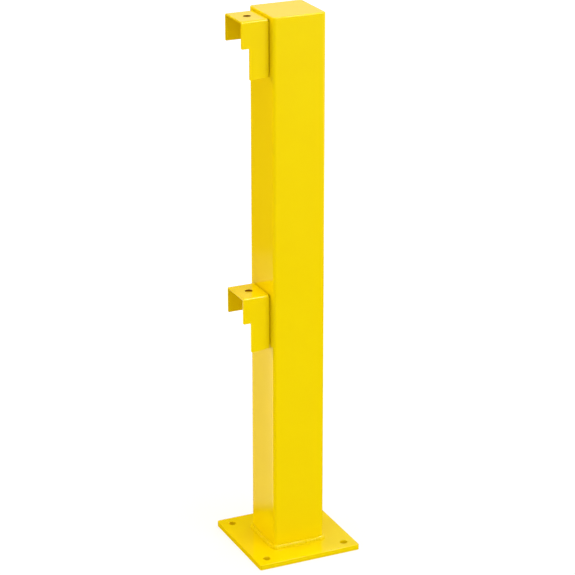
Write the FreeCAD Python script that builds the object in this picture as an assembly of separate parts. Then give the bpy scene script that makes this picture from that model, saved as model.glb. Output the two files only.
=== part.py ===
"""Steel safety bollard: the end post of an impact-protection railing.

A square hollow-section post is welded to a base plate with four anchor holes and closed by a
welded cap. Two identical saddle brackets, bent from sheet, stand on one face of the post and
carry the rails. Every weld is a solid of its own.

Frame, in millimetres: +Z up, origin on the floor at the centre of the base plate's underside.
The brackets point along -X. Their long flange is the front one, on the -Y side.
"""

import FreeCAD
import Part

import os

# Driving sizes, in millimetres
OVERALL_HEIGHT = 1010.0
POST_WIDTH = 100.0
POST_WALL = 3.0
POST_BEND_RADIUS = 3.0  # inside the hollow section's corners

PLATE_WIDTH = 200.0
PLATE_THICKNESS = 10.0
PLATE_CORNER_RADIUS = 4.0
PLATE_EDGE_RADIUS = 0.8
ANCHOR_SPACING = 156.0
ANCHOR_HOLE_DIAMETER = 13.5
ANCHOR_HOLE_CHAMFER = 0.5
FOOT_WELD_LEG = 5.0

CAP_THICKNESS = 3.0
CAP_INSET = 2.0  # from the post's faces to the cap's edge, filled by the ground weld

BRACKET_WIDTH = 70.0
BRACKET_REACH = 52.0  # from the post's face to the bracket's free end
BRACKET_GAP = 1.2  # open joint between the post's face and the sheet's edge
BRACKET_SHEET = 3.0
BRACKET_BEND_RADIUS = 1.0  # inside the bends
BRACKET_EDGE_RADIUS = 0.8
BEND_RELIEF_RADIUS = 4.0
BEND_RELIEF_DEPTH = 1.3  # how far the sheet's edge steps back from the post at each bend
FLANGE_HEIGHT = 48.0
TONGUE_REACH = 37.0  # from the post's face to the tongue's free edge
TONGUE_HEIGHT = 104.0
TONGUE_END_RISE = 3.0  # how much shorter the tongue is at the post than at its free corner
FLANGE_CORNER_RADIUS = 2.0
BOLT_HOLE_DIAMETER = 13.5
BRACKET_WELD_LEG = 4.0
BRACKET_WELD_ROOT = 1.0  # how deep the weld runs into the open joint
BRACKET_WELD_STOP = 5.0  # left unwelded at the lower end of each flange
TOP_BRACKET_DROP = 5.0  # from the post's top to the upper bracket's top
BRACKET_PITCH = 500.0

WELD_CROWN = 0.12  # how far a fillet weld's face bulges, as a share of its leg

PARTS_FOLDER = "parts"

# Sizes and places that follow from them
POST_CORNER_RADIUS = POST_BEND_RADIUS + POST_WALL
CAP_BOTTOM = OVERALL_HEIGHT - CAP_THICKNESS
POST_FACE = -POST_WIDTH / 2
BRACKET_ROOT = POST_FACE - BRACKET_GAP
BRACKET_END = POST_FACE - BRACKET_REACH
BRACKET_HALF = BRACKET_WIDTH / 2
BRACKET_INNER_HALF = BRACKET_HALF - BRACKET_SHEET
UPPER_BRACKET_TOP = OVERALL_HEIGHT - TOP_BRACKET_DROP
LOWER_BRACKET_TOP = UPPER_BRACKET_TOP - BRACKET_PITCH

ORIGIN = FreeCAD.Vector(0, 0, 0)
X_AXIS = FreeCAD.Vector(1, 0, 0)
Y_AXIS = FreeCAD.Vector(0, 1, 0)
Z_AXIS = FreeCAD.Vector(0, 0, 1)
TOLERANCE = 1e-6


def block(x_limits, y_limits, z_limits):
    """Box between two limits on each axis."""
    low, high = zip(x_limits, y_limits, z_limits)
    spans = [end - start for start, end in zip(low, high)]
    return Part.makeBox(*spans, FreeCAD.Vector(*low))


def line(start, end):
    """Straight edge between two points."""
    return Part.LineSegment(start, end).toShape()


def arc(start, middle, end):
    """Round edge through three points."""
    return Part.Arc(start, middle, end).toShape()


def upright_hole(x, y, diameter, z_limits):
    """Cylinder on a vertical axis, to be cut from a plate."""
    bottom, top = z_limits
    return Part.makeCylinder(diameter / 2, top - bottom, FreeCAD.Vector(x, y, bottom), Z_AXIS)


def rounded_prism(width, radius, z_limits):
    """Upright prism over a square with rounded corners, centred on the Z axis."""
    bottom, top = z_limits
    half = width / 2
    flat = half - radius
    bulge = flat + radius * 0.5**0.5
    side = line(FreeCAD.Vector(half, -flat, bottom), FreeCAD.Vector(half, flat, bottom))
    corner = arc(
        FreeCAD.Vector(half, flat, bottom),
        FreeCAD.Vector(bulge, bulge, bottom),
        FreeCAD.Vector(flat, half, bottom),
    )
    outline = []
    for quarter in range(4):
        for edge in (side, corner):
            turned = edge.copy()
            turned.rotate(ORIGIN, Z_AXIS, 90 * quarter)
            outline.append(turned)
    return Part.Face(Part.Wire(outline)).extrude(Z_AXIS * (top - bottom))


def lies_at(edge, axis, value):
    """True if the whole edge has one coordinate, X, Y or Z, at a value."""
    box = edge.BoundBox
    low, high = getattr(box, axis + "Min"), getattr(box, axis + "Max")
    return abs(low - value) < TOLERANCE and abs(high - value) < TOLERANCE


def long_edges(shape, z):
    """Edges of a shape that run along X at one height."""
    return [edge for edge in shape.Edges if lies_at(edge, "Z", z) and edge.BoundBox.XLength > TOLERANCE]


def cross_edges(shape, corners):
    """Edges of a shape that run along Y through any of the given (x, z) corners."""
    return [e for e in shape.Edges for x, z in corners if lies_at(e, "X", x) and lies_at(e, "Z", z)]


def fillet_section(corner, first, second, leg):
    """Face of a fillet weld's section, with legs from its corner along two unit directions."""
    crown = corner + (first + second) * (leg * (0.5 + WELD_CROWN))
    toe, top = corner + first * leg, corner + second * leg
    return Part.Face(Part.Wire([line(corner, toe), arc(toe, crown, top), line(top, corner)]))


def base_plate():
    """Square floor plate with rounded corners and a chamfered anchor hole near each of them."""
    plate = rounded_prism(PLATE_WIDTH, PLATE_CORNER_RADIUS, (0, PLATE_THICKNESS))
    rim = [edge for edge in plate.Edges if lies_at(edge, "Z", PLATE_THICKNESS)]
    plate = plate.makeFillet(PLATE_EDGE_RADIUS, rim)
    radius = ANCHOR_HOLE_DIAMETER / 2
    mouth = PLATE_THICKNESS - ANCHOR_HOLE_CHAMFER
    for x in (-ANCHOR_SPACING / 2, ANCHOR_SPACING / 2):
        for y in (-ANCHOR_SPACING / 2, ANCHOR_SPACING / 2):
            hole = upright_hole(x, y, ANCHOR_HOLE_DIAMETER, (0, PLATE_THICKNESS))
            chamfer = Part.makeCone(
                radius, radius + ANCHOR_HOLE_CHAMFER, ANCHOR_HOLE_CHAMFER, FreeCAD.Vector(x, y, mouth)
            )
            plate = plate.cut([hole, chamfer])
    return plate


def post_tube():
    """Square hollow section that stands on the base plate and ends under the cap."""
    heights = (PLATE_THICKNESS, CAP_BOTTOM)
    outside = rounded_prism(POST_WIDTH, POST_CORNER_RADIUS, heights)
    return outside.cut(rounded_prism(POST_WIDTH - 2 * POST_WALL, POST_BEND_RADIUS, heights))


def cap_plate():
    """Flat lid on the tube's end, a little smaller than the tube all round."""
    width = POST_WIDTH - 2 * CAP_INSET
    return rounded_prism(width, POST_CORNER_RADIUS - CAP_INSET, (CAP_BOTTOM, OVERALL_HEIGHT))


def cap_weld():
    """Closed bead round the cap, ground to a quarter round from the post's faces to the cap's top."""
    outside = rounded_prism(POST_WIDTH, POST_CORNER_RADIUS, (CAP_BOTTOM, OVERALL_HEIGHT))
    rim = [edge for edge in outside.Edges if lies_at(edge, "Z", OVERALL_HEIGHT)]
    return outside.makeFillet(min(CAP_INSET, CAP_THICKNESS), rim).cut(cap_plate())


def foot_weld(side):
    """Crowned bead along one side of the post's foot and half way round both its corners.

    Side 0 faces +X, and the sides are counted anticlockwise from above.
    """
    flat = POST_WIDTH / 2 - POST_CORNER_RADIUS
    root = FreeCAD.Vector(POST_WIDTH / 2, 0, PLATE_THICKNESS)
    section = fillet_section(root, X_AXIS, Z_AXIS, FOOT_WELD_LEG)
    bead = section.translated(Y_AXIS * -flat).extrude(Y_AXIS * (2 * flat))
    for end in (-1, 1):
        corner_centre = FreeCAD.Vector(flat, end * flat, 0)
        turn = section.translated(Y_AXIS * (end * flat)).revolve(corner_centre, Z_AXIS, end * 45)
        bead = bead.fuse(turn)
    bead.rotate(ORIGIN, Z_AXIS, 90 * side)
    return bead


def channel(top):
    """Inverted U of bent sheet as deep as the tongue, with its outer edges broken at both ends."""
    reach = (BRACKET_END, BRACKET_ROOT)
    bottom = top - TONGUE_HEIGHT
    outside = block(reach, (-BRACKET_HALF, BRACKET_HALF), (bottom, top))
    outside = outside.makeFillet(BRACKET_BEND_RADIUS + BRACKET_SHEET, long_edges(outside, top))
    rims = [edge for edge in outside.Edges if any(lies_at(edge, "X", x) for x in reach)]
    rims = [edge for edge in rims if not lies_at(edge, "Z", bottom)]
    outside = outside.makeFillet(BRACKET_EDGE_RADIUS, rims)

    ceiling = top - BRACKET_SHEET
    inside = block(reach, (-BRACKET_INNER_HALF, BRACKET_INNER_HALF), (bottom, ceiling))
    return outside.cut(inside.makeFillet(BRACKET_BEND_RADIUS, long_edges(inside, ceiling)))


def front_outline(top):
    """Solid that holds the front half of a bracket: a flange with a slanted tongue by the post."""
    tongue_edge = POST_FACE - TONGUE_REACH
    step = top - FLANGE_HEIGHT
    free_corners = [(BRACKET_END, step), (tongue_edge, step), (tongue_edge, top - TONGUE_HEIGHT)]
    post_corners = [(BRACKET_ROOT, top - TONGUE_HEIGHT + TONGUE_END_RISE), (BRACKET_ROOT, top)]
    corners = free_corners + post_corners + [(BRACKET_END, top), free_corners[0]]
    outline = Part.makePolygon([FreeCAD.Vector(x, -BRACKET_HALF, z) for x, z in corners])
    front = Part.Face(outline).extrude(Y_AXIS * BRACKET_HALF)
    return front.makeFillet(FLANGE_CORNER_RADIUS, cross_edges(front, free_corners))


def rear_outline(top):
    """Solid that holds the rear half of a bracket: a short flange with a rounded free corner."""
    step = top - FLANGE_HEIGHT
    rear = block((BRACKET_END, BRACKET_ROOT), (0, BRACKET_HALF), (step, top))
    return rear.makeFillet(FLANGE_CORNER_RADIUS, cross_edges(rear, [(BRACKET_END, step)]))


def bend_reliefs(top):
    """Two short pins square to a bracket's bends, which notch the sheet's edge by the post."""
    centre_x = BRACKET_ROOT + BEND_RELIEF_RADIUS - BEND_RELIEF_DEPTH
    bend_radius = BRACKET_BEND_RADIUS + BRACKET_SHEET
    pins = []
    for side in (-1, 1):
        bend_centre = FreeCAD.Vector(centre_x, side * (BRACKET_HALF - bend_radius), top - bend_radius)
        outward = FreeCAD.Vector(0, side, 1).normalize()
        start = bend_centre + outward * (BRACKET_BEND_RADIUS / 2)
        pins.append(Part.makeCylinder(BEND_RELIEF_RADIUS, 2 * bend_radius, start, outward))
    return pins


def saddle_bracket(top):
    """Bent sheet bracket with a bolt hole in its top, standing edge-on just off the post's face."""
    bracket = channel(top).common(front_outline(top).fuse(rear_outline(top)))
    hole_x = POST_FACE - BRACKET_REACH / 2
    hole = upright_hole(hole_x, 0, BOLT_HOLE_DIAMETER, (top - BRACKET_SHEET, top))
    return bracket.cut([hole] + bend_reliefs(top)).removeSplitter()


def bracket_weld(top):
    """Fillet weld between the post and the inside of a bracket: down both flanges and under the top.

    The weld also fills the bottom of the open joint but not the notches at the bends, and the sheet
    is cut out of it.
    """
    leg = BRACKET_WELD_LEG + BRACKET_WELD_ROOT
    half = BRACKET_INNER_HALF + BRACKET_WELD_ROOT
    ceiling = top - BRACKET_SHEET + BRACKET_WELD_ROOT
    stops = {
        -1: top - TONGUE_HEIGHT + TONGUE_END_RISE + BRACKET_WELD_STOP,
        1: top - FLANGE_HEIGHT + BRACKET_WELD_STOP,
    }
    left_top = FreeCAD.Vector(POST_FACE, -half, ceiling)
    weld = fillet_section(left_top, -X_AXIS, -Z_AXIS, leg).extrude(Y_AXIS * (2 * half))
    for side, stop in stops.items():
        root = FreeCAD.Vector(POST_FACE, side * half, stop)
        run = fillet_section(root, -X_AXIS, Y_AXIS * -side, leg)
        weld = weld.fuse(run.extrude(Z_AXIS * (ceiling - stop)))
    return weld.cut([channel(top)] + bend_reliefs(top)).removeSplitter()


def main():
    """Build every piece and write one STEP file for each."""
    pieces = {
        "base_plate": base_plate(),
        "post_tube": post_tube(),
        "cap_plate": cap_plate(),
        "cap_weld": cap_weld(),
    }
    for side, name in enumerate(("right", "rear", "left", "front")):
        pieces["foot_weld_" + name] = foot_weld(side)
    for name, top in (("upper", UPPER_BRACKET_TOP), ("lower", LOWER_BRACKET_TOP)):
        pieces[name + "_bracket"] = saddle_bracket(top)
        pieces[name + "_bracket_weld"] = bracket_weld(top)

    os.makedirs(PARTS_FOLDER, exist_ok=True)
    for name, shape in pieces.items():
        shape.exportStep(os.path.join(PARTS_FOLDER, name + ".step"))
        print(f"{name}: {len(shape.Solids)} solid, {shape.Volume:.0f} mm3, valid {shape.isValid()}")


main()
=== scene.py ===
"""Looks of the steel safety bollard: powder coat, hand-laid welds, studio and camera.

The plates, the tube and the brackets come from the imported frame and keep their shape. The fillet
welds are modelled again here, ripple by ripple, because a plain fillet looks machined.
"""

import logging
import math
import random
from dataclasses import dataclass
from enum import Enum

import bpy
from mathutils import Matrix, Vector


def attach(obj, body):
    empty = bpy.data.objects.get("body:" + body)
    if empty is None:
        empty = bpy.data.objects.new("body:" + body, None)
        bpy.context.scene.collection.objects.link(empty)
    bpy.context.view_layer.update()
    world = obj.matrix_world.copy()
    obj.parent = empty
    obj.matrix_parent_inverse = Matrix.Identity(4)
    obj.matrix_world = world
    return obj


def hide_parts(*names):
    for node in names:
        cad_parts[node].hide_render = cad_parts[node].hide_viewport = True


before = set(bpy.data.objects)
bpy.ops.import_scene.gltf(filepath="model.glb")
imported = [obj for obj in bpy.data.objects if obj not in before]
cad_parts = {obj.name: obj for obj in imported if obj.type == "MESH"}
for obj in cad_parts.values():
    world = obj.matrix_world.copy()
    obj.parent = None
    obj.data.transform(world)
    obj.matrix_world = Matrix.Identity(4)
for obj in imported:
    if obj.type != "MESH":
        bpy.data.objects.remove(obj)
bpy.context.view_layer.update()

LOG = logging.getLogger("bollard")
MM = 0.001
X_AXIS, Y_AXIS, Z_AXIS = Vector((1, 0, 0)), Vector((0, 1, 0)), Vector((0, 0, 1))
WHITE = (1.0, 1.0, 1.0, 1.0)
POST_HALF_MM = 50.0
CAMERA_AZIMUTH_DEG = -24.85


def linear(hex_colour: str) -> tuple[float, float, float, float]:
    """Turn an sRGB colour into the linear values that shaders use.

    Args:
        hex_colour: Six hexadecimal digits, such as "f6d700".

    Returns:
        Red, green, blue and an alpha of 1.
    """
    channels = [int(hex_colour[i : i + 2], 16) / 255 for i in (0, 2, 4)]
    levels = [c / 12.92 if c <= 0.04045 else ((c + 0.055) / 1.055) ** 2.4 for c in channels]
    return (levels[0], levels[1], levels[2], 1.0)


def add_node(
    tree: bpy.types.NodeTree, kind: str, settings: dict | None = None, links: dict | None = None
) -> bpy.types.Node:
    """Add one shader node.

    A Mix node's two values are inputs 2 and 3 when it mixes numbers, and 6 and 7 for colours.

    Args:
        tree: The node tree that gets the node.
        kind: The node's type, such as "ShaderNodeBump".
        settings: Values by name or number. A number or an input's name sets that input, and any
            other name a property of the node. Properties come first.
        links: Output sockets to join to this node's inputs, by input name or number.

    Returns:
        The new node.
    """
    node = tree.nodes.new(kind)
    for name, value in (settings or {}).items():
        if isinstance(name, int) or name in node.inputs:
            node.inputs[name].default_value = value
        else:
            setattr(node, name, value)
    for name, output in (links or {}).items():
        tree.links.new(output, node.inputs[name])
    return node


def empty_tree(owner: bpy.types.Material | bpy.types.World) -> bpy.types.NodeTree:
    """Turn nodes on for a material or world and clear them.

    Args:
        owner: The material or world.

    Returns:
        Its empty node tree.
    """
    owner.use_nodes = True
    owner.node_tree.nodes.clear()
    return owner.node_tree


@dataclass(frozen=True)
class ThinFilmAndShadeSpot:
    """Dark spots of painted shade and lean film: one and its mirror images, with their colour.

    An upright bore is such a spot at every height. The rim says how far outside the radius the
    dark colour begins to fade and where it has gone.
    """

    centre_mm: tuple[float, float, float]
    radius_mm: float
    colour: str
    upright: bool = True
    rim_mm: tuple[float, float] = (0.05, 0.25)

    def coat(
        self, tree: bpy.types.NodeTree, place: bpy.types.NodeSocket, film: bpy.types.NodeSocket
    ) -> bpy.types.NodeSocket:
        """Paint the spots' dark colour: painted shade, with some lean film.

        Args:
            tree: The material's node tree.
            place: Object coordinates.
            film: The colour everywhere else.

        Returns:
            The colour with the spots in it.
        """
        folded = add_node(tree, "ShaderNodeVectorMath", {"operation": "ABSOLUTE"}, {0: place})
        heights = 0 if self.upright else 1
        kept = add_node(
            tree,
            "ShaderNodeVectorMath",
            {"operation": "MULTIPLY", 1: (1, 1, heights)},
            {0: folded.outputs[0]},
        )
        x_mm, y_mm, z_mm = self.centre_mm
        centre = (x_mm * MM, y_mm * MM, z_mm * MM * heights)
        radius = add_node(
            tree,
            "ShaderNodeVectorMath",
            {"operation": "DISTANCE", 1: centre},
            {0: kept.outputs[0]},
        )
        # The dark colour is full inside the first radius and gone past the second
        full_dark_radius, whole = ((self.radius_mm + step) * MM for step in self.rim_mm)
        outside = add_node(
            tree,
            "ShaderNodeMapRange",
            {"From Min": full_dark_radius, "From Max": whole},
            {"Value": radius.outputs["Value"]},
        )
        mix = add_node(
            tree,
            "ShaderNodeMix",
            {"data_type": "RGBA", 6: linear(self.colour)},
            {0: outside.outputs[0], 7: film},
        )
        return mix.outputs[2]


@dataclass(frozen=True)
class PowderCoat:
    """Glossy polyester powder coat, sprayed dry on blasted steel and baked.

    The baked film flows into a thick skin with a fine orange peel. It mirrors its surroundings at
    flat angles, and it rounds every cut edge. The charged powder is drawn to open faces, so the
    film is lean inside a channel, and there its darker colour is also painted shade. Narrow joints
    and recesses, found by an ambient occlusion mask, get a brown colour that is painted shade and
    in part the lean film over steel; so do a bracket's bolt holes and bend reliefs.
    """

    name: str = "powder_coat_on_steel"
    colour: str = "f4d800"
    lean_colour: str = "f2d200"
    # Brown for narrow joints and recesses: painted shade, and in part the lean film over steel
    recess_film_and_shade_colour: str = "c89c00"
    roughness: float = 0.09
    ior: float = 1.5
    cloud_size_mm: float = 70.0
    cloud_detail: float = 2.0
    cloud_roughness: float = 0.5
    peel_size_mm: float = 2.4
    peel_depth_mm: float = 0.010
    peel_detail: float = 1.0
    peel_roughness: float = 0.4
    edge_round_mm: float = 0.4
    edge_samples: int = 6
    recess_reach_mm: float = 3.0
    recess_openness: tuple[float, float] = (0.02, 0.2)
    recess_samples: int = 8
    facing_span_mm: float = 1.0
    # Darker colour for faces inside a channel: in part lean film, in part painted shade
    inside_film_and_shade_colour: str | None = None
    thin_film_and_shade_spots: tuple[ThinFilmAndShadeSpot, ...] = ()

    def film_colour(
        self, tree: bpy.types.NodeTree, place: bpy.types.NodeSocket, normal: bpy.types.NodeSocket
    ) -> bpy.types.NodeSocket:
        """Work out the film's colour at each place.

        Args:
            tree: The material's node tree.
            place: Object coordinates.
            normal: The surface's normal in the same axes.

        Returns:
            The colour.
        """
        # The film's thickness drifts over a hand's breadth, and its depth of colour with it
        cloud = add_node(
            tree,
            "ShaderNodeTexNoise",
            {
                "Scale": 1 / (self.cloud_size_mm * MM),
                "Detail": self.cloud_detail,
                "Roughness": self.cloud_roughness,
            },
            {"Vector": place},
        )
        film = add_node(
            tree,
            "ShaderNodeMix",
            {"data_type": "RGBA", 6: linear(self.lean_colour), 7: linear(self.colour)},
            {0: cloud.outputs["Fac"]},
        )
        body = film.outputs[2]
        if self.inside_film_and_shade_colour:
            # A face looks into the channel when its normal points towards the origin, and gets the
            # darker colour: in part lean film, in part painted shade
            outward = add_node(
                tree,
                "ShaderNodeVectorMath",
                {"operation": "DOT_PRODUCT"},
                {0: place, 1: normal},
            )
            facing_out = add_node(
                tree,
                "ShaderNodeMapRange",
                {"From Min": -self.facing_span_mm * MM, "From Max": self.facing_span_mm * MM},
                {"Value": outward.outputs["Value"]},
            )
            sided = add_node(
                tree,
                "ShaderNodeMix",
                {"data_type": "RGBA", 6: linear(self.inside_film_and_shade_colour)},
                {0: facing_out.outputs[0], 7: body},
            )
            body = sided.outputs[2]
        # Dark spots: painted shade, with some lean film
        for spot in self.thin_film_and_shade_spots:
            body = spot.coat(tree, place, body)

        # Painted shade: a narrow joint or recess, found by ambient occlusion, turns brown, in part
        # for the lean film there; where the face lies open the coat keeps its colour
        openness = add_node(
            tree,
            "ShaderNodeAmbientOcclusion",
            {"samples": self.recess_samples, "Distance": self.recess_reach_mm * MM},
        )
        open_share = add_node(
            tree,
            "ShaderNodeMapRange",
            {
                "interpolation_type": "SMOOTHSTEP",
                "From Min": self.recess_openness[0],
                "From Max": self.recess_openness[1],
            },
            {"Value": openness.outputs["AO"]},
        )
        coat = add_node(
            tree,
            "ShaderNodeMix",
            {"data_type": "RGBA", 6: linear(self.recess_film_and_shade_colour)},
            {0: open_share.outputs[0], 7: body},
        )
        return coat.outputs[2]

    def skin(self, tree: bpy.types.NodeTree, place: bpy.types.NodeSocket) -> bpy.types.NodeSocket:
        """Shape the film's skin: orange peel, and the round that the melt draws over an edge.

        Args:
            tree: The material's node tree.
            place: Object coordinates.

        Returns:
            The skin's normal.
        """
        peel = add_node(
            tree,
            "ShaderNodeTexNoise",
            {
                "Scale": 1 / (self.peel_size_mm * MM),
                "Detail": self.peel_detail,
                "Roughness": self.peel_roughness,
            },
            {"Vector": place},
        )
        skin = add_node(
            tree,
            "ShaderNodeBump",
            {"Strength": 1.0, "Distance": self.peel_depth_mm * MM},
            {"Height": peel.outputs["Fac"]},
        )
        if self.edge_round_mm:
            edge = add_node(
                tree,
                "ShaderNodeBevel",
                {"samples": self.edge_samples, "Radius": self.edge_round_mm * MM},
            )
            tree.links.new(edge.outputs["Normal"], skin.inputs["Normal"])
        return skin.outputs["Normal"]

    def material(self) -> bpy.types.Material:
        """Build the coat's shader.

        Returns:
            The material, ready for a slot.
        """
        material = bpy.data.materials.new(self.name)
        tree = empty_tree(material)
        coordinates = add_node(tree, "ShaderNodeTexCoord").outputs
        place = coordinates["Object"]
        colour = self.film_colour(tree, place, coordinates["Normal"])
        shader = add_node(
            tree,
            "ShaderNodeBsdfPrincipled",
            {"Roughness": self.roughness, "IOR": self.ior},
            {"Base Color": colour, "Normal": self.skin(tree, place)},
        )
        add_node(tree, "ShaderNodeOutputMaterial", {}, {"Surface": shader.outputs["BSDF"]})
        return material


@dataclass
class Camera:
    """The camera, set by its angle round the bollard.

    Azimuth 0 looks along +Y, and a negative one stands to the left, where the brackets are.
    """

    azimuth_deg: float = CAMERA_AZIMUTH_DEG
    elevation_deg: float = 20.92
    distance_m: float = 4.117
    lens_mm: float = 144.0
    sensor_mm: float = 36.0
    aim_m: tuple[float, float, float] = (0.0001, 0.0004, 0.499)

    def place(self) -> None:
        """Make the camera and give it to the scene."""
        azimuth, elevation = math.radians(self.azimuth_deg), math.radians(self.elevation_deg)
        level = math.cos(elevation)
        back = Vector((math.sin(azimuth) * level, -math.cos(azimuth) * level, math.sin(elevation)))
        data = bpy.data.cameras.new("camera")
        data.lens = self.lens_mm
        data.sensor_width = self.sensor_mm
        camera = bpy.data.objects.new("camera", data)
        camera.location = Vector(self.aim_m) + back * self.distance_m
        camera.rotation_mode = "QUATERNION"
        camera.rotation_quaternion = (-back).to_track_quat("-Z", "Y")
        bpy.context.scene.collection.objects.link(camera)
        bpy.context.scene.camera = camera


@dataclass(frozen=True)
class Softbox:
    """Rectangular studio lamp that hangs at a point and faces another."""

    name: str
    place_m: tuple[float, float, float]
    aim_m: tuple[float, float, float]
    size_m: float
    watts: float
    colour: str = "ffffff"
    glint_only: bool = False

    def hang(self) -> None:
        """Make the lamp. One that is for glints alone lights nothing but reflections."""
        data = bpy.data.lights.new(self.name, "AREA")
        data.size = self.size_m
        data.energy = self.watts
        data.color = linear(self.colour)[:3]
        lamp = bpy.data.objects.new(self.name, data)
        lamp.location = self.place_m
        lamp.rotation_mode = "QUATERNION"
        direction = Vector(self.aim_m) - Vector(self.place_m)
        lamp.rotation_quaternion = direction.to_track_quat("-Z", "Y")
        lamp.visible_diffuse = not self.glint_only
        bpy.context.scene.collection.objects.link(lamp)


@dataclass(frozen=True)
class Edge:
    """Line over the floor, past which a paper's glow is another share of what it was.

    The turn is that of the line's normal from +Y, to the left, and the span is measured along it.
    """

    turn_deg: float
    span_m: tuple[float, float]
    shares: tuple[float, float]

    def share(self, tree: bpy.types.NodeTree, place: bpy.types.NodeSocket) -> bpy.types.NodeSocket:
        """Work out the share of glow at each place.

        Args:
            tree: The floor's node tree.
            place: Object coordinates.

        Returns:
            The share.
        """
        turn = math.radians(self.turn_deg)
        normal = (-math.sin(turn), math.cos(turn), 0)
        run = add_node(
            tree, "ShaderNodeVectorMath", {"operation": "DOT_PRODUCT", 1: normal}, {0: place}
        )
        step = add_node(
            tree,
            "ShaderNodeMapRange",
            {
                "interpolation_type": "SMOOTHSTEP",
                "From Min": self.span_m[0],
                "From Max": self.span_m[1],
                "To Min": self.shares[0],
                "To Max": self.shares[1],
            },
            {"Value": run.outputs["Value"]},
        )
        return step.outputs[0]


@dataclass(frozen=True)
class Paper:
    """Bright paper on the floor, as reflections see it."""

    glow: float
    edges: tuple[Edge, ...]

    def strength(
        self, tree: bpy.types.NodeTree, place: bpy.types.NodeSocket
    ) -> bpy.types.NodeSocket:
        """Work out how bright the paper is at each place.

        Args:
            tree: The floor's node tree.
            place: Object coordinates.

        Returns:
            The glow, which is 0 off the paper.
        """
        strength = None
        for edge in self.edges:
            product = add_node(
                tree,
                "ShaderNodeMath",
                {"operation": "MULTIPLY", 0: self.glow},
                {1: edge.share(tree, place)} | ({0: strength} if strength else {}),
            )
            strength = product.outputs[0]
        return strength


# The camera's line as the post's left face mirrors it, the line square to it, and one between
MIRRORED_DEG = -CAMERA_AZIMUTH_DEG
SQUARE_DEG = MIRRORED_DEG - 90
SLANT_DEG = SQUARE_DEG + 20
NEAR_EDGE = Edge(MIRRORED_DEG, (0.145, 0.205), (0.0, 1.0))
SLANTED_EDGE = Edge(SLANT_DEG, (-0.09, -0.05), (0.0, 1.0))
# A broad sheet behind the base plate, laid square to the mirrored line and paler near the plate
BROAD_SHEET = Paper(
    0.38,
    (
        NEAR_EDGE,
        Edge(MIRRORED_DEG, (0.9, 1.55), (1.0, 0.36)),
        Edge(MIRRORED_DEG, (1.57, 1.61), (1.0, 0.0)),
        SLANTED_EDGE,
        Edge(SQUARE_DEG, (0.65, 0.75), (1.0, 0.0)),
    ),
)
# A brighter wedge to the left of what the flat face mirrors, for a pale line along its corner
CORNER_WEDGE = Paper(
    2.0,
    (
        NEAR_EDGE,
        Edge(MIRRORED_DEG, (1.1, 1.6), (1.0, 0.0)),
        Edge(SQUARE_DEG, (-0.075, -0.058), (1.0, 0.0)),
        SLANTED_EDGE,
    ),
)


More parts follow.
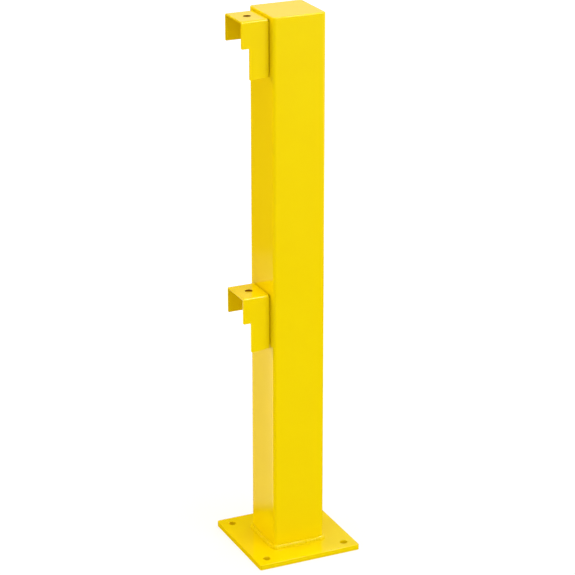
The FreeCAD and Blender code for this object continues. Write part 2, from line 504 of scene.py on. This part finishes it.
@dataclass
class Studio:
    """Pale floor, even surroundings and soft lamps.

    Reflections see more than the camera does: a dark floor with a sheet and a wedge of paper
    behind the bollard, and round it all a wall that is dim below and bright above.
    """

    floor_size_m: float = 14.0
    floor_gap_mm: float = 0.2
    floor_colour: str = "e0e0e0"
    shadow_zone_m: tuple[float, float] = (0.5, 1.1)
    shadow_zone_glow: float = 0.55
    floor_glow: float = 1.2
    papers: tuple[Paper, Paper] = (BROAD_SHEET, CORNER_WEDGE)
    wall_radius_m: float = 1.6
    wall_height_m: float = 2.2
    wall_foot_mm: float = 1.0
    wall_sides: int = 96
    wall_lean: float = 1.5
    wall_fade_m: tuple[float, float] = (1.6, 2.4)
    wall_glow: tuple[float, float] = (0.02, 0.6)
    ceiling_fade_m: tuple[float, float] = (1.95, 2.15)
    ceiling_share: float = 0.04
    ambient: float = 0.66
    lamps: tuple[Softbox, ...] = (
        Softbox("front_softbox", (1.7, -2.9, 1.1), (0, 0, 0.5), 2.8, 44.0),
        Softbox("rear_left_softbox", (-3.1, 1.6, 1.9), (0, 0, 0.5), 1.6, 54.0, "ffe2aa"),
        Softbox("right_softbox", (3.3, 1.6, 1.6), (0, 0, 0.5), 1.2, 34.0),
        Softbox("top_softbox", (-0.2, -0.6, 4.0), (0, 0, 0.2), 1.5, 49.0),
        Softbox("glint_lamp", (0.68, -0.85, 2.1), (0, 0, 0.5), 0.5, 11.0, glint_only=True),
        Softbox("foot_glint_lamp", (0.62, -0.42, 1.5), (0, 0, 0), 0.14, 10.0, glint_only=True),
    )

    def floor_material(self) -> bpy.types.Material:
        """Build the floor's shader.

        Returns:
            A matt white that the camera sees as plain white outside the bollard's shadow.
        """
        material = bpy.data.materials.new("matt_paper_sweep")
        tree = empty_tree(material)
        place = add_node(tree, "ShaderNodeTexCoord").outputs["Object"]
        path = add_node(tree, "ShaderNodeLightPath").outputs

        # Near the bollard the camera sees part of the matt floor, and with it the shadow
        reach = add_node(tree, "ShaderNodeVectorMath", {"operation": "LENGTH"}, {0: place})
        share = add_node(
            tree,
            "ShaderNodeMapRange",
            {
                "interpolation_type": "SMOOTHSTEP",
                "From Min": self.shadow_zone_m[0],
                "From Max": self.shadow_zone_m[1],
                "To Min": self.shadow_zone_glow,
            },
            {"Value": reach.outputs["Value"]},
        )
        seen = add_node(
            tree,
            "ShaderNodeMath",
            {"operation": "MULTIPLY"},
            {0: path["Is Camera Ray"], 1: share.outputs[0]},
        )

        # Reflections see the papers, and nothing but dark floor round them
        mirrored = add_node(
            tree,
            "ShaderNodeMath",
            {"operation": "MAXIMUM"},
            {0: path["Is Glossy Ray"], 1: path["Is Transmission Ray"]},
        )
        glow_share = add_node(
            tree,
            "ShaderNodeMath",
            {"operation": "MAXIMUM"},
            {0: seen.outputs[0], 1: mirrored.outputs[0]},
        )
        sheet, wedge = (paper.strength(tree, place) for paper in self.papers)
        bright = add_node(tree, "ShaderNodeMath", {"operation": "MAXIMUM"}, {0: sheet, 1: wedge})
        strength = add_node(
            tree,
            "ShaderNodeMix",
            {"data_type": "FLOAT", 2: self.floor_glow},
            {0: mirrored.outputs[0], 3: bright.outputs[0]},
        )
        matt = add_node(tree, "ShaderNodeBsdfDiffuse", {"Color": linear(self.floor_colour)})
        glow = add_node(
            tree, "ShaderNodeEmission", {"Color": WHITE}, {"Strength": strength.outputs[0]}
        )
        mixed = add_node(
            tree,
            "ShaderNodeMixShader",
            {},
            {0: glow_share.outputs[0], 1: matt.outputs[0], 2: glow.outputs[0]},
        )
        add_node(tree, "ShaderNodeOutputMaterial", {}, {"Surface": mixed.outputs[0]})
        return material

    def lay_floor(self) -> None:
        """Lay the floor a hair below the bollard, so that the two never share a surface."""
        bpy.ops.object.select_all(action="DESELECT")
        bpy.ops.mesh.primitive_plane_add(
            size=self.floor_size_m, location=(0, 0, -self.floor_gap_mm * MM)
        )
        floor = bpy.context.object
        floor.name = "studio_floor"
        floor.data.materials.append(self.floor_material())

    def wall_material(self) -> bpy.types.Material:
        """Build the wall's shader.

        Returns:
            A glow that brightens upwards and stops short of the ceiling.
        """
        material = bpy.data.materials.new("lit_studio_wall")
        tree = empty_tree(material)
        place = add_node(tree, "ShaderNodeTexCoord").outputs["Object"]
        height = add_node(tree, "ShaderNodeSeparateXYZ", {}, {0: place})
        # The bright part comes lower down towards the right
        rise = add_node(
            tree,
            "ShaderNodeVectorMath",
            {"operation": "DOT_PRODUCT", 1: (self.wall_lean, 0, 1)},
            {0: place},
        )
        strength = add_node(
            tree,
            "ShaderNodeMapRange",
            {
                "interpolation_type": "SMOOTHSTEP",
                "From Min": self.wall_fade_m[0],
                "From Max": self.wall_fade_m[1],
                "To Min": self.wall_glow[0],
                "To Max": self.wall_glow[1],
            },
            {"Value": rise.outputs["Value"]},
        )
        below_ceiling = add_node(
            tree,
            "ShaderNodeMapRange",
            {
                "From Min": self.ceiling_fade_m[0],
                "From Max": self.ceiling_fade_m[1],
                "To Min": 1.0,
                "To Max": self.ceiling_share,
            },
            {"Value": height.outputs["Z"]},
        )
        shaded = add_node(
            tree,
            "ShaderNodeMath",
            {"operation": "MULTIPLY"},
            {0: strength.outputs[0], 1: below_ceiling.outputs[0]},
        )
        glow = add_node(
            tree, "ShaderNodeEmission", {"Color": WHITE}, {"Strength": shaded.outputs[0]}
        )
        add_node(tree, "ShaderNodeOutputMaterial", {}, {"Surface": glow.outputs[0]})
        return material

    def raise_wall(self) -> None:
        """Stand a round wall with a dark ceiling about the bollard. Only reflections see it.

        Its foot is cut off, which takes away the cylinder's lower lid.
        """
        bpy.ops.object.select_all(action="DESELECT")
        bpy.ops.mesh.primitive_cylinder_add(
            vertices=self.wall_sides,
            radius=self.wall_radius_m,
            depth=self.wall_height_m,
            location=(0, 0, self.wall_height_m / 2),
        )
        bpy.ops.object.transform_apply(location=True)
        wall = bpy.context.object
        bpy.ops.object.mode_set(mode="EDIT")
        bpy.ops.mesh.select_all(action="SELECT")
        bpy.ops.mesh.bisect(
            plane_co=Z_AXIS * self.wall_foot_mm * MM, plane_no=Z_AXIS, clear_inner=True
        )
        bpy.ops.object.mode_set(mode="OBJECT")
        wall.name = "studio_wall"
        wall.visible_camera = wall.visible_diffuse = wall.visible_shadow = False
        wall.visible_transmission = wall.visible_volume_scatter = False
        wall.data.materials.append(self.wall_material())

    def light(self) -> None:
        """Set the surroundings and hang the lamps."""
        world = bpy.data.worlds.new("studio_walls")
        bpy.context.scene.world = world
        tree = empty_tree(world)
        path = add_node(tree, "ShaderNodeLightPath").outputs
        seen = add_node(
            tree,
            "ShaderNodeMath",
            {"operation": "MAXIMUM"},
            {0: path["Is Camera Ray"], 1: path["Is Glossy Ray"]},
        )
        clear = add_node(
            tree,
            "ShaderNodeMath",
            {"operation": "MAXIMUM"},
            {0: seen.outputs[0], 1: path["Is Transmission Ray"]},
        )
        strength = add_node(
            tree,
            "ShaderNodeMix",
            {"data_type": "FLOAT", 2: self.ambient, 3: 1.0},
            {0: clear.outputs[0]},
        )
        backdrop = add_node(
            tree, "ShaderNodeBackground", {"Color": WHITE}, {"Strength": strength.outputs[0]}
        )
        add_node(tree, "ShaderNodeOutputWorld", {}, {"Surface": backdrop.outputs[0]})
        for lamp in self.lamps:
            lamp.hang()


@dataclass(frozen=True)
class Station:
    """Place of one weld ripple: a point on the root line, with its axes and its size.

    The axes are the way the weld travels, the way out from the post, and the way along the other
    plate. They are right-handed.
    """

    root: Vector
    out: Vector
    along: Vector
    size: Vector

    def matrix(self) -> Matrix:
        """Work out where a ripple lies.

        Returns:
            The matrix that takes the ripple pattern to this place.
        """
        travel = self.out.cross(self.along)
        turn = Matrix((travel, self.out, self.along)).transposed().to_4x4()
        return Matrix.Translation(self.root) @ turn @ Matrix.Diagonal((*self.size, 1.0))


@dataclass
class Ripple:
    """One frozen ripple of weld metal, of unit size, from which every bead is laid.

    It is a lens that leans the way the weld travels, so that its rim shows as a crescent. Its
    inner corner is cut to a square that stands a little inside both plates.
    """

    segments: int = 32
    rings: int = 20
    lens_thickness: float = 0.9
    lean_deg: float = 24.0
    bite: float = 0.14

    def model(self) -> bpy.types.Object:
        """Model the ripple at the origin.

        Returns:
            The ripple, with travel along X, out along Y and along the plate on Z.
        """
        bpy.ops.object.select_all(action="DESELECT")
        bpy.ops.mesh.primitive_uv_sphere_add(
            segments=self.segments, ring_count=self.rings, radius=1.0
        )
        ripple = bpy.context.object
        ripple.name = "ripple_pattern"
        bpy.ops.object.mode_set(mode="EDIT")
        bpy.ops.mesh.select_all(action="SELECT")
        bpy.ops.transform.resize(value=(self.lens_thickness, 1.0, 1.0))
        bpy.ops.object.mode_set(mode="OBJECT")
        # The lean is about the axis across the bead's face
        ripple.matrix_world = Matrix.Rotation(math.radians(self.lean_deg), 4, Vector((0, -1, 1)))
        bpy.ops.object.transform_apply(location=False, rotation=True, scale=False)
        bpy.ops.object.mode_set(mode="EDIT")
        for normal in (Y_AXIS, Z_AXIS):
            bpy.ops.mesh.select_all(action="SELECT")
            bpy.ops.mesh.bisect(
                plane_co=normal * -self.bite, plane_no=normal, use_fill=True, clear_inner=True
            )
        bpy.ops.object.mode_set(mode="OBJECT")
        return ripple


@dataclass
class Bead:
    """Weld bead of frozen ripples, each laid half over the one before."""

    name: str
    node: str
    stations: list[Station]
    grain_mm: float = 0.4
    flow_share: float = 0.5
    flow_rounds: int = 3

    def lay(self, pattern: bpy.types.Object, coat: bpy.types.Material) -> None:
        """Copy the ripple to every station and run the copies together.

        Args:
            pattern: The ripple to copy.
            coat: The finish.
        """
        ripples = []
        for station in self.stations:
            bpy.ops.object.select_all(action="DESELECT")
            pattern.select_set(True)
            bpy.context.view_layer.objects.active = pattern
            bpy.ops.object.duplicate(linked=False)
            bpy.context.object.matrix_world = station.matrix()
            ripples.append(bpy.context.object)
        for ripple in ripples:
            ripple.select_set(True)
        bead = ripples[0]
        bpy.context.view_layer.objects.active = bead
        bpy.ops.object.join()
        bpy.ops.object.transform_apply(location=True, rotation=True, scale=True)
        bead.name = self.name

        fuse = bead.modifiers.new("fuse", "REMESH")
        fuse.mode = "VOXEL"
        fuse.voxel_size = self.grain_mm * MM
        bpy.ops.object.modifier_apply(modifier=fuse.name)
        flow = bead.modifiers.new("flow", "SMOOTH")
        flow.factor, flow.iterations = self.flow_share, self.flow_rounds
        bpy.ops.object.modifier_apply(modifier=flow.name)
        bpy.ops.object.shade_smooth()
        bead.data.materials.clear()
        bead.data.materials.append(coat)
        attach(bead, "root")
        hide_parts(self.node)
        LOG.info("%s: %d ripples, %d faces", self.name, len(ripples), len(bead.data.polygons))


class Hand:
    """The welder's hand: a seeded source of small irregularities."""

    KEPT_SURGE = 0.75
    NEW_SURGE = 0.06
    UNEVENNESS = 0.05
    SLIP_MM = 0.5

    def __init__(self, seed: int) -> None:
        """Start a run that comes out the same each time."""
        self.dice = random.Random(seed)
        self.surge = 0.0

    def swell(self) -> float:
        """Return the next ripple's size as a share. It drifts as the hand's speed does."""
        self.surge = self.KEPT_SURGE * self.surge + self.dice.gauss(0, self.NEW_SURGE)
        return 1 + self.surge + self.dice.uniform(-self.UNEVENNESS, self.UNEVENNESS)

    def slip(self) -> float:
        """Return how far the next ripple falls from its even place, in millimetres."""
        return self.dice.uniform(-self.SLIP_MM, self.SLIP_MM)


class Side(Enum):
    """Sides of the post, by how many quarter turns they lie from +X."""

    RIGHT = 0
    REAR = 1
    LEFT = 2
    FRONT = 3


@dataclass
class FootWelds:
    """Four beads between the post and the base plate, one laid along each side.

    A bead starts as a blob where the wire first melts in, and it ends in a low crater. Both are
    given as the sizes of its first and last ripples. It turns a little way round the post's
    corner at each end.
    """

    out_leg_mm: float = 4.4
    up_leg_mm: float = 6.2
    pitch_mm: float = 2.4
    post_half_mm: float = POST_HALF_MM
    corner_radius_mm: float = 6.0
    plate_top_mm: float = 10.0
    turn_deg: float = 40.0
    start_blob: tuple[float, ...] = (1.16, 1.12)
    end_crater: tuple[float, ...] = (0.9, 0.66)
    seed: int = 7

    def stations(self, side: Side, hand: Hand) -> list[Station]:
        """Place the ripples of one side.

        Args:
            side: The side of the post.
            hand: The hand that lays them.

        Returns:
            The stations from one corner to the next.
        """
        flat = self.post_half_mm - self.corner_radius_mm
        bend = self.corner_radius_mm * math.radians(self.turn_deg)
        length = 2 * (flat + bend)
        count = round(length / self.pitch_mm) + 1
        shares = [1.0] * count
        shares[: len(self.start_blob)] = self.start_blob
        shares[-len(self.end_crater) :] = self.end_crater
        spin = Matrix.Rotation(side.value * math.pi / 2, 3, "Z")
        stations = []
        for number, share in enumerate(shares):
            run = length * (number / (count - 1) - 0.5) + hand.slip()
            past = max(0.0, abs(run) - flat)
            turn = Matrix.Rotation(math.copysign(past / self.corner_radius_mm, run), 3, "Z")
            out = turn @ X_AXIS
            corner = Vector((flat, max(-flat, min(flat, run)), self.plate_top_mm))
            root = corner + out * self.corner_radius_mm
            swell = share * hand.swell()
            size = Vector((self.out_leg_mm, self.out_leg_mm * swell, self.up_leg_mm * swell))
            stations.append(Station(spin @ root * MM, spin @ out, Z_AXIS, size * MM))
        return stations

    def build(self, pattern: bpy.types.Object, coat: bpy.types.Material) -> None:
        """Lay the four beads.

        Args:
            pattern: The ripple to copy.
            coat: The finish.
        """
        hand = Hand(self.seed)
        for side in Side:
            name = "foot_weld_" + side.name.lower()
            Bead(name + "_bead", name, self.stations(side, hand)).lay(pattern, coat)


@dataclass(frozen=True)
class Bracket:
    """One of the two rail brackets, with its dark spots of painted shade and lean film.

    The bolt hole's centre and the bend reliefs are placed from the post's centre line, and the
    reliefs also from the bracket's top.
    """

    node: str
    top_mm: float
    weld_seed: int
    bolt_out_mm: float = 76.0
    bolt_radius_mm: float = 6.75
    # The bolt hole's dark brown is painted shade of the dim channel seen through it, with some
    # lean film
    bolt_hole_film_and_shade_colour: str = "8a5600"
    relief_out_mm: float = 48.5
    relief_side_mm: float = 32.5
    relief_drop_mm: float = 2.5
    relief_radius_mm: float = 4.6
    # The bend reliefs' dark brown is painted shade of the pits, with some lean film
    relief_film_and_shade_colour: str = "5a3000"

    def list_film_and_shade_spots(self) -> tuple[ThinFilmAndShadeSpot, ThinFilmAndShadeSpot]:
        """Find the dark spots of painted shade and lean film.

        Returns:
            The bolt hole, and both bend reliefs.
        """
        relief = (self.relief_out_mm, self.relief_side_mm, self.top_mm - self.relief_drop_mm)
        return (
            ThinFilmAndShadeSpot((self.bolt_out_mm, 0.0, 0.0), self.bolt_radius_mm, self.bolt_hole_film_and_shade_colour),
            ThinFilmAndShadeSpot(relief, self.relief_radius_mm, self.relief_film_and_shade_colour, upright=False),
        )


BRACKETS = (Bracket("upper_bracket", 1005.0, 11), Bracket("lower_bracket", 505.0, 13))


@dataclass
class BracketWeld:
    """Bead inside a bracket: up the rear flange, across under the top and down the front one."""

    bracket: Bracket
    leg_mm: float = 3.8
    pitch_mm: float = 2.5
    post_face_mm: float = -POST_HALF_MM
    inner_half_mm: float = 32.0
    sheet_mm: float = 3.0
    bend_mm: float = 4.0
    rear_stop_mm: float = 40.0
    front_stop_mm: float = 93.0

    def corners(self) -> list[tuple[Vector, Vector]]:
        """List the ends of the straight runs of the root line.

        Returns:
            Points from the rear end to the front end, each with the way off the sheet there.
        """
        top = self.bracket.top_mm
        high = top - self.sheet_mm
        half, bend = self.inner_half_mm, self.bend_mm
        path = (
            ((half, top - self.rear_stop_mm), (-1, 0)),
            ((half, high - bend), (-1, 0)),
            ((half - bend, high), (0, -1)),
            ((bend - half, high), (0, -1)),
            ((-half, high - bend), (1, 0)),
            ((-half, top - self.front_stop_mm), (1, 0)),
        )
        return [(Vector((self.post_face_mm, *point)), Vector((0, *way))) for point, way in path]

    def stations(self) -> list[Station]:
        """Place the ripples along the root line.

        Returns:
            The stations from the rear end to the front end.
        """
        hand = Hand(self.bracket.weld_seed)
        stations = []
        corners = self.corners()
        for (start, start_way), (end, end_way) in zip(corners, corners[1:]):
            count = max(1, round((end - start).length / self.pitch_mm))
            for number in range(count):
                share = (number + 0.5) / count
                root = start.lerp(end, share)
                along = start_way.lerp(end_way, share).normalized()
                swell = hand.swell()
                size = Vector((self.leg_mm, self.leg_mm * swell, self.leg_mm * swell))
                stations.append(Station(root * MM, -X_AXIS, along, size * MM))
        return stations

    def build(self, pattern: bpy.types.Object, coat: bpy.types.Material) -> None:
        """Lay the bead from copies of the ripple pattern, and give it its coat."""
        name = self.bracket.node + "_weld"
        Bead(name + "_bead", name, self.stations()).lay(pattern, coat)


class Bollard:
    """The whole object: CAD nodes in their coat, and the welds."""

    def __init__(self) -> None:
        """Build the finishes once for every piece."""
        self.plain_coat = PowderCoat().material()
        # Inside a bracket's channel the film is lean, and the darker colour there is also painted
        # shade; its bolt holes and bend reliefs get painted shade too
        self.bracket_coats = {
            bracket.node: PowderCoat(
                name="powder_coat_on_bent_sheet",
                inside_film_and_shade_colour="ead000",
                thin_film_and_shade_spots=bracket.list_film_and_shade_spots(),
            ).material()
            for bracket in BRACKETS
        }
        # Over a weld the film follows the ripples, and its peel is coarser
        self.weld_coat = PowderCoat(
            name="powder_coat_on_weld_metal", edge_round_mm=0.0, peel_depth_mm=0.02
        ).material()

    def dress(self) -> None:
        """Give each CAD node its coat."""
        for name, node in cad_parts.items():
            node.data.materials.clear()
            node.data.materials.append(self.bracket_coats.get(name, self.plain_coat))
            LOG.info("%s: coated", name)

    def build(self) -> None:
        """Dress the frame and lay the welds."""
        self.dress()
        pattern = Ripple().model()
        FootWelds().build(pattern, self.weld_coat)
        for bracket in BRACKETS:
            BracketWeld(bracket).build(pattern, self.weld_coat)
        bpy.data.objects.remove(pattern)


def main() -> None:
    """Build the studio, the camera and the bollard."""
    logging.basicConfig(level=logging.INFO, format="%(message)s")
    Camera().place()
    studio = Studio()
    studio.lay_floor()
    studio.raise_wall()
    studio.light()
    Bollard().build()
    bpy.context.scene.view_settings.view_transform = "Standard"


if __name__ == "__main__":
    main()
